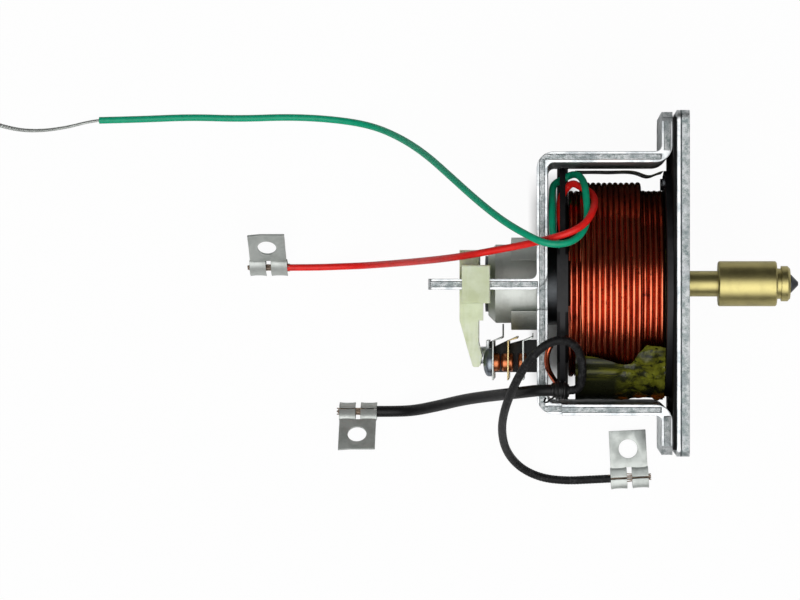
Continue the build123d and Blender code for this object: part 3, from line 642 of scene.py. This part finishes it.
class SOLENOID_OT_camera(bpy.types.Operator):
    """Puts the camera straight above the solenoid, as in the photograph"""
    bl_idname = "solenoid.camera"
    bl_label = "Camera"

    def execute(self, context):
        lens = bpy.data.cameras.new("camera")
        lens.lens = 143.15
        lens.sensor_width = 36.0
        lens.clip_end = 10.0
        camera = bpy.data.objects.new("camera", lens)
        context.scene.collection.objects.link(camera)
        camera.location = metres((-41.1, -4.2, 1047.7))
        camera.rotation_euler = (math.radians(-0.063), math.radians(2.875), 0.0)
        context.scene.camera = camera
        return {"FINISHED"}


class SOLENOID_OT_terminals(bpy.types.Operator):
    """Makes the flag terminals with their crimped ferrules and bare strands"""
    bl_idname = "solenoid.terminals"
    bl_label = "Terminals"

    def flag(self):
        """The sheet flag with its hole, its two necks and a creased corner."""
        middle = FERRULE_LENGTH + FERRULE_GAP / 2
        half = FLAG_SHEET / 2
        plate = bar("flag", (middle - FLAG_SIDE / 2, FLAG_OFFSET, -half),
                    (middle + FLAG_SIDE / 2, FLAG_OFFSET + FLAG_SIDE, half))
        for start in (0.0, FERRULE_LENGTH + FERRULE_GAP):
            neck = bar("neck", (start + 0.0005, FERRULE_WIDE - 0.0010, -half),
                       (start + FERRULE_LENGTH - 0.0005, FLAG_OFFSET + 0.0010, half))
            modify(plate, "BOOLEAN", operation="UNION", object=neck, solver="EXACT")
            bpy.data.objects.remove(neck)
        deselect()
        bpy.ops.mesh.primitive_cylinder_add(vertices=56, radius=FLAG_HOLE, depth=0.004,
                                            location=(middle, FLAG_OFFSET + FLAG_SIDE / 2, 0))
        punch = settle(bpy.context.object)
        modify(plate, "BOOLEAN", operation="DIFFERENCE", object=punch, solver="EXACT")
        bpy.data.objects.remove(punch)
        corner = Vector((middle + FLAG_SIDE / 2, FLAG_OFFSET + FLAG_SIDE, 0))
        lean = Vector((1.0, 0.72, 0)).normalized()
        crease = corner - lean * 0.0034
        select(plate)
        bpy.ops.object.mode_set(mode="EDIT")
        bpy.ops.mesh.select_all(action="SELECT")
        bpy.ops.mesh.bisect(plane_co=crease, plane_no=lean)
        bpy.ops.object.mode_set(mode="OBJECT")
        for vertex in plate.data.vertices:
            past = (vertex.co - crease).dot(lean)
            if past > 0:
                vertex.co.z -= past * 0.16
        return round_edges(plate, 0.00013)

    def ferrule(self, start):
        """A crimped barrel: a rolled strip with its seam on top, pinched in the middle."""
        deselect()
        bpy.ops.mesh.primitive_circle_add(vertices=64, radius=1.0)
        barrel = bpy.context.object
        barrel.scale = (FERRULE_WIDE, FERRULE_HIGH, 1.0)
        settle(barrel)
        top = max(vertex.co.y for vertex in barrel.data.vertices)
        pick(barrel, lambda place: place.y > top - 0.000001)
        bpy.ops.mesh.delete(type="VERT")
        bpy.ops.mesh.select_all(action="SELECT")
        for run, size in ((0.0006, 0.95), (0.0012, 0.94), (0.0019, 1.0), (0.0012, 1.064), (0.0006, 1.05)):
            bpy.ops.mesh.extrude_region_move(TRANSFORM_OT_translate={"value": (0, 0, run)})
            bpy.ops.transform.resize(value=(1.0 + (size - 1.0) * 0.5, size, 1.0),
                                     center_override=(0, 0, 0))
        bpy.ops.mesh.select_all(action="SELECT")
        bpy.ops.mesh.normals_make_consistent(inside=False)
        bpy.ops.object.mode_set(mode="OBJECT")
        barrel.data.transform(Matrix.Translation((start, 0, 0)) @ ALONG_X)
        modify(barrel, "SOLIDIFY", thickness=0.00045, offset=-1.0)
        return round_edges(barrel, 0.0001)

    def bundle(self):
        """The lead's bare wires, which run through both ferrules."""
        tubes = []
        end = 2 * FERRULE_LENGTH + FERRULE_GAP + 0.0009
        for wire in range(13):
            ring = 0 if wire == 12 else 1 + wire % 2
            turn = 2 * math.pi * wire / 12
            path = []
            for index in range(25):
                share = index / 24
                wave = turn + 0.9 * share
                reach = (0.00042 * ring) * (1.0 + 0.12 * math.sin(9 * share + wire))
                path.append(Vector((-0.0008 + share * (end + 0.0008 - 0.0004 * (wire % 3)),
                                    1.5 * reach * math.cos(wave), reach * math.sin(wave))))
            tubes.append(tube_rings(path, 0.0002, 7))
        return skin("bundle", tubes)

    def execute(self, context):
        sheet = tinned_sheet()
        wires = bright_metal("terminal_wire", mix(colours().copper, 0.8, (0.55, 0.54, 0.5)), 0.3)
        pattern = join(self.flag(), self.ferrule(0.0), self.ferrule(FERRULE_LENGTH + FERRULE_GAP))
        bundle = self.bundle()
        dress(sheet, pattern)
        dress(wires, bundle)
        pattern = join(pattern, bundle)
        for name, node, route, turn, tilt in (
                ("red_flag", "red_terminal", RED_ROUTE, Matrix.Rotation(math.pi, 4, "Y"), -47.0),
                ("black_flag", "black_terminal", BLACK_ROUTE, Matrix.Rotation(math.pi, 4, "Z"), 40.0),
                ("braided_flag", "braided_terminal", BRAID_ROUTE,
                 Matrix.Rotation(math.radians(3), 4, "Z"), 0.0)):
            flag = bpy.data.objects.new(name, pattern.data.copy())
            context.scene.collection.objects.link(flag)
            place = Matrix.Translation(metres(route[-1])) @ turn
            flag.data.transform(place @ Matrix.Rotation(math.radians(tilt), 4, "X"))
            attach(flag, "frame")
            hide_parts(node)
        bpy.data.objects.remove(pattern)
        return {"FINISHED"}


class SOLENOID_OT_leads(bpy.types.Operator):
    """Lays the four leads and their stripped strand"""
    bl_idname = "solenoid.leads"
    bl_label = "Leads"

    def execute(self, context):
        seen = colours()
        size = sizes()
        green = route_curve("green_cord", GREEN_ROUTE, size.thin_lead / 2)
        red = route_curve("red_cord", RED_ROUTE, size.thin_lead / 2)
        black = route_curve("black_cord", BLACK_ROUTE, size.thick_lead / 2)
        braid_line = spline_points(BRAID_ROUTE, 40)
        braided = skin("braided_cord", [self.braid(braid_line, size.braided_lead / 2)])
        strand = skin("bare_strand", self.strands(spline_points(STRAND_ROUTE, 30)))
        dress(insulation("green_insulation", seen.green_lead, 0.42), green)
        dress(insulation("red_insulation", seen.red_lead, 0.42), red)
        dress(insulation("black_insulation", seen.black_lead, 0.42, 0.22), black)
        dress(woven_sleeve(), braided)
        dress(bright_metal("bare_wire", seen.tin, 0.3), strand)
        for cord, node in ((green, "green_lead"), (red, "red_lead"), (black, "black_lead"),
                           (braided, "braided_lead"), (strand, "green_strand")):
            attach(cord, "frame")
            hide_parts(node)
        return {"FINISHED"}

    def braid(self, line, radius):
        """A tube whose surface rises where the yarns cross."""
        lengths = [0.0]
        for before, after in zip(line, line[1:]):
            lengths.append(lengths[-1] + (after - before).length)

        def reach(index, side):
            turn = 2 * math.pi * side / 36
            along = 2 * math.pi * lengths[index] / 0.0021
            weave = math.sin(along + 6 * turn) * math.sin(along - 6 * turn)
            return radius * (0.97 + 0.05 * weave)

        return tube_rings(line, reach, 36)

    def strands(self, line):
        """Seven wires twisted round each other, a little loose towards the cut end."""
        tubes = []
        last = len(line) - 1
        for wire in range(7):
            path = []
            for index, (point, across, over) in enumerate(crossings(line)):
                share = index / last
                turn = 2 * math.pi * (wire / 6 + 9 * share)
                away = 0.0 if wire == 6 else 0.00034 + 0.00025 * share * share
                path.append(point + (across * math.cos(turn) + over * math.sin(turn)) * away)
            tubes.append(tube_rings(path, 0.00016, 6))
        return tubes


class SOLENOID_OT_winding(bpy.types.Operator):
    """Winds the coil's wire turn by turn, in three layers"""
    bl_idname = "solenoid.winding"
    bl_label = "Winding"

    def layer(self, first, last, reach):
        """A wire's centre line from one turn to another; each turn steps to the next underneath."""
        wire = sizes().wire
        pitch = (WIND_HIGH.x - WIND_LOW.x) / TURNS
        line = []
        for step in range(int((last - first) * STEPS_PER_TURN) + 1):
            turn = first + step / STEPS_PER_TURN
            whole = min(int(turn), last - 1)
            share = turn - whole
            jog = step_between(share, 0.9, 1.0) if whole < last - 1 else 0.0
            angle = 2 * math.pi * turn
            place = Vector((whole * 1.7, 1.4 * math.cos(angle), 1.4 * math.sin(angle)))
            radius = reach(turn) + 0.00012 * noise.noise(place)
            sway = 0.00007 * noise.noise(place + Vector((0, 0, 9.0)))
            x = WIND_LOW.x + pitch * (whole + 0.5 + jog) + sway
            line.append(Vector((x, -radius * math.sin(angle), -radius * math.cos(angle))))
        return tube_rings(line, wire / 2, 14)

    def execute(self, context):
        high = 0.0324
        low = 0.0297

        def outer(turn):
            rise = step_between(turn, HIGH_FIRST - 0.12, HIGH_FIRST + 0.06)
            return low + (high - low) * (rise - step_between(turn, HIGH_LAST - 0.06, HIGH_LAST + 0.12))

        turns = skin("coil_turns", [self.layer(0, TURNS, outer),
                                    self.layer(HIGH_FIRST, HIGH_LAST, lambda turn: low),
                                    self.layer(0, TURNS, lambda turn: 0.0272)])
        exit_wire = route_curve("coil_exit_wire", LEAD_OUT_ROUTE, sizes().wire / 2)
        dress(enamelled_wire(), turns, exit_wire, "hold_in_winding")
        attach(exit_wire, "frame")
        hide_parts("coil_lead_out")
        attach(turns, "frame")
        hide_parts("pull_in_winding")
        return {"FINISHED"}


class SOLENOID_OT_film(bpy.types.Operator):
    """Wraps the insulating film under the coil and creases it beside the plate"""
    bl_idname = "solenoid.film"
    bl_label = "Film"

    def reach(self, angle):
        for (before, low), (after, high) in zip(FILM_PROFILE, FILM_PROFILE[1:]):
            if angle <= after:
                return (low + (high - low) * step_between(angle, before, after)) * MM
        return FILM_PROFILE[-1][1] * MM

    def crease(self, place):
        """Sharp ridges between flat facets, as in film that was crushed."""
        bend = noise.noise_vector(place * 130.0) * 0.7
        cells, _ = noise.voronoi(place * 125.0 + bend)
        return min(1.0, (cells[1] - cells[0]) * 1.6)

    def lower(self, along, share):
        """A place on the film under the coil, crushed where it comes up beside the plate."""
        x = FILM_X[0] + (FILM_X[1] - FILM_X[0]) * along
        first, last = FILM_PROFILE[0][0], FILM_PROFILE[-1][0]
        brim = last - 5.5 - 6.0 * step_between(x, -0.034, -0.017)
        brim += 12.0 * step_between(x, -0.0185, -0.013)
        angle = first + (brim - first) * share
        turn = math.radians(angle)
        flat = Vector((x, math.sin(turn) * 0.036, math.cos(turn) * 0.036))
        crushed = step_between(x, -0.0245, -0.0185) * step_between(angle, 255, 275)
        ridge = self.crease(flat)
        reach = self.reach(angle) - crushed * (0.0012 - 0.0019 * ridge)
        reach += 0.0002 * noise.noise(flat * 90.0)
        fold = step_between(angle, 296, 303) * step_between(x, -0.018, -0.024)
        reach += fold * 0.00025 * math.sin(angle * 0.9 + 90 * x)
        if crushed:
            turn += crushed * 0.012 * noise.noise(flat * 260.0 + Vector((3, 1, 4)))
            edge = step_between(angle, 295, 318)
            turn += crushed * edge * 0.07 * noise.noise(Vector((x * 210.0, 7.3, 0)))
        reach = min(reach, 0.0384)
        return (x + crushed * 0.0003 * noise.noise(flat * 300.0),
                math.sin(turn) * reach, math.cos(turn) * reach)

    def upper(self, along, share):
        """A place on the film's other end, which stands beside the wall and sags near the plate."""
        x = FILM_X[0] + (FILM_X[1] - FILM_X[0]) * along
        sag = 0.0015 * math.exp(-((x + 0.0118) / 0.0032) ** 2)
        wave = 0.00015 * noise.noise(Vector((x * 180.0, share * 3, 0)))
        return (x, FILM_EDGE_Y - sag + wave, FILM_EDGE_Z[0] + (FILM_EDGE_Z[1] - FILM_EDGE_Z[0]) * share)

    def grid(self, columns, rows, place):
        deselect()
        bpy.ops.mesh.primitive_grid_add(x_subdivisions=columns, y_subdivisions=rows, size=2.0)
        made = bpy.context.object
        for vertex in made.data.vertices:
            vertex.co = place((vertex.co.x + 1) / 2, (vertex.co.y + 1) / 2)
        return modify(made, "SOLIDIFY", thickness=0.00012, offset=0.0)

    def execute(self, context):
        film = join(self.grid(96, 260, self.lower), self.grid(80, 40, self.upper))
        film.name = "coil_film"
        smooth(film, 30.0)
        dress(olive_film(), film, "layer_insulation")
        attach(film, "frame")
        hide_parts("winding_film")
        return {"FINISHED"}


class SOLENOID_OT_contacts(bpy.types.Operator):
    """Makes the contact springs, cut across into short lengths, and the blocks between them"""
    bl_idname = "solenoid.contacts"
    bl_label = "Contacts"

    def spring(self, name, node, body, low):
        """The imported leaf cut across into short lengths, so that it can bend."""
        leaf = node_copy(name, node)
        bpy.ops.object.mode_set(mode="EDIT")
        for step in range(10):
            bpy.ops.mesh.select_all(action="SELECT")
            bpy.ops.mesh.bisect(plane_co=(0, 0, 0.0045 + 0.0008 * step), plane_no=(0, 0, 1))
        bpy.ops.object.mode_set(mode="OBJECT")
        round_edges(leaf, 0.00012, 1)
        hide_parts(node)
        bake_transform(leaf)
        return leaf

    def block(self, name, low_x, high_x, slope):
        """A moulded spacer whose upper face leans."""
        block = bar(name, (low_x, CLAMP_LOW.y, CLAMP_LOW.z), (high_x, CLAMP_HIGH.y, CLAMP_HIGH.z))
        select(block)
        for vertex in block.data.vertices:
            if vertex.co.y > CLAMP_HIGH.y - 0.0001 and vertex.co.x < (low_x + high_x) / 2:
                vertex.co.y -= slope
        return round_edges(block, 0.0002)

    def execute(self, context):
        seen = colours()
        tin = bright_metal("spring_tin", seen.tin, 0.32, 800.0, (1, 1, 0.2), 0.3)
        rolled = bright_metal("spring_brass", (0.86, 0.77, 0.56), 0.26, 800.0, (1, 1, 0.2), 0.3)
        dress(tin, self.spring("moving_spring", "moving_leaf", "moving_contact_group", MOVING_LOW),
              "fixed_leaf")
        dress(rolled, self.spring("middle_spring", "middle_leaf", "middle_contact_group", MIDDLE_LOW))
        spans = ((MOVING_LOW.x + 0.0005, MIDDLE_LOW.x), (MIDDLE_LOW.x + 0.0005, FIXED_LOW.x),
                 (CLAMP_HIGH.x, MOVING_LOW.x))
        blocks = [self.block("contact_blocks", *spans[0], 0.0021)]
        blocks.append(self.block("second_block", *spans[1], 0.0012))
        blocks.append(self.block("cover_block", *spans[2], 0.0006))
        blocks = join(*blocks)
        dress(moulding("contact_moulding", (0.075, 0.072, 0.07), 0.42), blocks, "contact_base")
        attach(blocks, "frame")
        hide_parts("contact_spacers")
        return {"FINISHED"}


class SOLENOID_OT_coil_exit(bpy.types.Operator):
    """Makes the taped sleeve where two leads leave the coil, and the cord tied round it"""
    bl_idname = "solenoid.coil_exit"
    bl_label = "Coil exit"

    def execute(self, context):
        middle_y = (SLEEVE_LOW.y + SLEEVE_HIGH.y) / 2
        middle_z = (SLEEVE_LOW.z + SLEEVE_HIGH.z) / 2
        line = [Vector((SLEEVE_LOW.x - 0.0004 + (SLEEVE_HIGH.x - SLEEVE_LOW.x + 0.0008) * step / 30,
                        middle_y, middle_z)) for step in range(31)]

        def reach(index, side):
            turn = 2 * math.pi * side / 40
            share = index / 30
            belly = 0.62 + 0.38 * math.sin(math.pi * min(1.0, max(0.0, 0.08 + 0.84 * share)))
            wrap = 0.025 * math.sin(2 * math.pi * 5 * share + turn)
            lump = 0.12 * noise.noise(Vector((share * 3, math.cos(turn), math.sin(turn))))
            return 0.0028 * (belly + wrap + lump)

        taped = skin("taped_sleeve", [tube_rings(line, reach, 40)])
        loops = []
        for x, radius, lean in ((0.0011, 0.0027, 0.1), (0.0019, 0.0028, -0.08), (0.0036, 0.0027, 0.12)):
            path = []
            for step in range(41):
                turn = 2 * math.pi * step / 40
                path.append(Vector((SLEEVE_LOW.x + x + 0.0005 * step / 40 + lean * 0.002 * math.sin(turn),
                                    middle_y + radius * math.cos(turn), middle_z + radius * math.sin(turn))))
            loops.append(tube_rings(path, 0.00033, 8))
        tail = [(-42.2, -35.9, 25.0), (-43.6, -37.0, 25.6), (-45.2, -38.3, 24.6), (-46.4, -38.2, 22.8),
                (-45.6, -36.9, 21.6)]
        loops.append(tube_rings(spline_points(tail, 14), 0.00033, 8))
        cord = skin("tie_cord", loops)
        dress(moulding("tape", (0.07, 0.07, 0.072), 0.42), taped)
        dress(insulation("waxed_cord", (0.10, 0.10, 0.10), 0.4), cord)
        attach(taped, "frame")
        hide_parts("lead_sleeve")
        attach(cord, "frame")
        return {"FINISHED"}


class SOLENOID_OT_finishes(bpy.types.Operator):
    """Gives the machined, pressed and moulded parts their finishes"""
    bl_idname = "solenoid.finishes"
    bl_label = "Finishes"

    def execute(self, context):
        seen = colours()
        dress(sheared_plate(), "mounting_plate")
        dress(plated_yoke(), "yoke_frame")
        dress(plated_steel("plated_small", seen.zinc), "clamp_plate", "clamp_screws")
        dress(moulding("black_moulding", seen.moulding), "coil_bobbin")
        dress(moulding("black_board", (0.05, 0.05, 0.05), 0.7, 0.12), "plate_gasket")
        dress(nylon(), "trip_slider")
        dress(bright_metal("turned_brass", seen.brass, 0.38, 600.0, (9.0, 1, 1)), "push_rod")
        dress(bright_metal("turned_steel", seen.steel, 0.56, 420.0, (5.0, 1, 1)), "plunger",
              "rear_collar", "pole_core")
        dress(bright_metal("dark_steel", (0.3, 0.31, 0.32), 0.36), "rod_tip", "end_washer", "plate_rivets",
              "cross_pin", "return_spring", "trip_spring", "guide_sleeve")
        dress(bright_metal("grey_button", (0.5, 0.53, 0.56), 0.34), "contact_button")
        dress(bright_metal("contact_copper", seen.copper, 0.3), "fixed_contact", "middle_contacts",
              "moving_contact")
        return {"FINISHED"}


class SOLENOID_OT_stage(bpy.types.Operator):
    """Sets the white floor, the soft sky and the studio lamps"""
    bl_idname = "solenoid.stage"
    bl_label = "Stage"

    def area_lamp(self, context, name, place, size, power):
        light = bpy.data.lights.new(name, "AREA")
        light.shape = "RECTANGLE"
        light.size, light.size_y = size
        light.energy = power
        lamp = bpy.data.objects.new(name, light)
        context.scene.collection.objects.link(lamp)
        lamp.location = place
        lamp.rotation_euler = (-Vector(place)).to_track_quat("-Z", "Y").to_euler()

    def sky(self, context):
        """A wide soft light overhead, leaning a little towards -Y, in a dimmer room."""
        world = bpy.data.worlds.new("studio")
        context.scene.world = world
        world.use_nodes = True
        nodes, links = world.node_tree.nodes, world.node_tree.links
        sky = nodes["Background"]
        sky.inputs["Color"].default_value = (1.0, 1.0, 1.0, 1.0)
        place = nodes.new("ShaderNodeTexCoord")
        overhead = nodes.new("ShaderNodeVectorMath")
        overhead.operation = "DOT_PRODUCT"
        overhead.inputs[1].default_value = Vector((0.0, -0.36, 0.93)).normalized()
        links.new(place.outputs["Generated"], overhead.inputs[0])
        spread = nodes.new("ShaderNodeMapRange")
        spread.interpolation_type = "SMOOTHSTEP"
        spread.inputs["From Min"].default_value = math.cos(math.radians(42))
        spread.inputs["From Max"].default_value = math.cos(math.radians(34))
        spread.inputs["To Min"].default_value = 0.06
        spread.inputs["To Max"].default_value = 1.85
        links.new(overhead.outputs["Value"], spread.inputs["Value"])
        rays = nodes.new("ShaderNodeLightPath")
        seen = nodes.new("ShaderNodeMix")
        links.new(rays.outputs["Is Camera Ray"], seen.inputs["Factor"])
        links.new(spread.outputs["Result"], seen.inputs["A"])
        seen.inputs["B"].default_value = 1.0
        links.new(seen.outputs["Result"], sky.inputs["Strength"])

    def execute(self, context):
        deselect()
        bpy.ops.mesh.primitive_plane_add(size=8.0, location=(0, 0, PLATE_LOW.z))
        floor = context.object
        floor.name = "floor"
        finish = Finish("white_floor", (0.94, 0.94, 0.94), 0.9)
        tree = finish.tree
        glow = finish.node("ShaderNodeEmission", Strength=1.0)
        path = finish.node("ShaderNodeLightPath")
        # painted shadow: the floor's glow fades out over a patch in the gap between the yoke's back and the
        # bobbin's flange, so the floor there shows darker as that gap's shade
        aside = finish.math("ABSOLUTE", finish.math("ADD", finish.axis("X"), 0.0430))
        painted_gap_shadow = finish.math("MULTIPLY", finish.ramp(aside, 0.0090, 0.0035),
                             finish.ramp(finish.math("ABSOLUTE", finish.axis("Y")), 0.0385, 0.0270))
        open_floor = finish.math("SUBTRACT", 0.96, painted_gap_shadow)
        share = finish.math("MULTIPLY", path.outputs["Is Camera Ray"],
                            finish.math("MAXIMUM", open_floor, 0.0))
        blend = finish.node("ShaderNodeMixShader")
        tree.links.new(share, blend.inputs["Fac"])
        tree.links.new(finish.shader.outputs["BSDF"], blend.inputs[1])
        tree.links.new(glow.outputs["Emission"], blend.inputs[2])
        tree.links.new(blend.outputs["Shader"], tree.nodes["Material Output"].inputs["Surface"])
        floor.data.materials.append(finish.material)
        self.sky(context)
        self.area_lamp(context, "key_lamp", (0.0, -0.36, 0.93), (0.9, 0.7), 2.0)
        context.scene.view_settings.view_transform = "Standard"
        return {"FINISHED"}


class SOLENOID_PT_panel(bpy.types.Panel):
    """Lists the solenoid's sizes, colours and steps"""
    bl_label = "Solenoid"
    bl_idname = "SOLENOID_PT_panel"
    bl_space_type = "VIEW_3D"
    bl_region_type = "UI"
    bl_category = "Solenoid"

    def draw(self, context):
        column = self.layout.column()
        for step in STEPS:
            column.operator(step.bl_idname)
        for group in (context.scene.solenoid_sizes, context.scene.solenoid_colours):
            for name in group.__annotations__:
                column.prop(group, name)


STEPS = (SOLENOID_OT_camera, SOLENOID_OT_terminals, SOLENOID_OT_leads, SOLENOID_OT_winding,
         SOLENOID_OT_film, SOLENOID_OT_contacts, SOLENOID_OT_coil_exit, SOLENOID_OT_finishes,
         SOLENOID_OT_stage)
CLASSES = (SolenoidColours, SolenoidSizes, *STEPS, SOLENOID_PT_panel)


def register():
    for made in CLASSES:
        bpy.utils.register_class(made)
    bpy.types.Scene.solenoid_colours = bpy.props.PointerProperty(type=SolenoidColours)
    bpy.types.Scene.solenoid_sizes = bpy.props.PointerProperty(type=SolenoidSizes)


def unregister():
    del bpy.types.Scene.solenoid_sizes
    del bpy.types.Scene.solenoid_colours
    for made in reversed(CLASSES):
        bpy.utils.unregister_class(made)


def main():
    register()
    bpy.ops.solenoid.camera()
    bpy.ops.solenoid.terminals()
    bpy.ops.solenoid.leads()
    bpy.ops.solenoid.winding()
    bpy.ops.solenoid.film()
    bpy.ops.solenoid.contacts()
    bpy.ops.solenoid.coil_exit()
    bpy.ops.solenoid.finishes()
    bpy.ops.solenoid.stage()


if __name__ == "__main__":
    main()
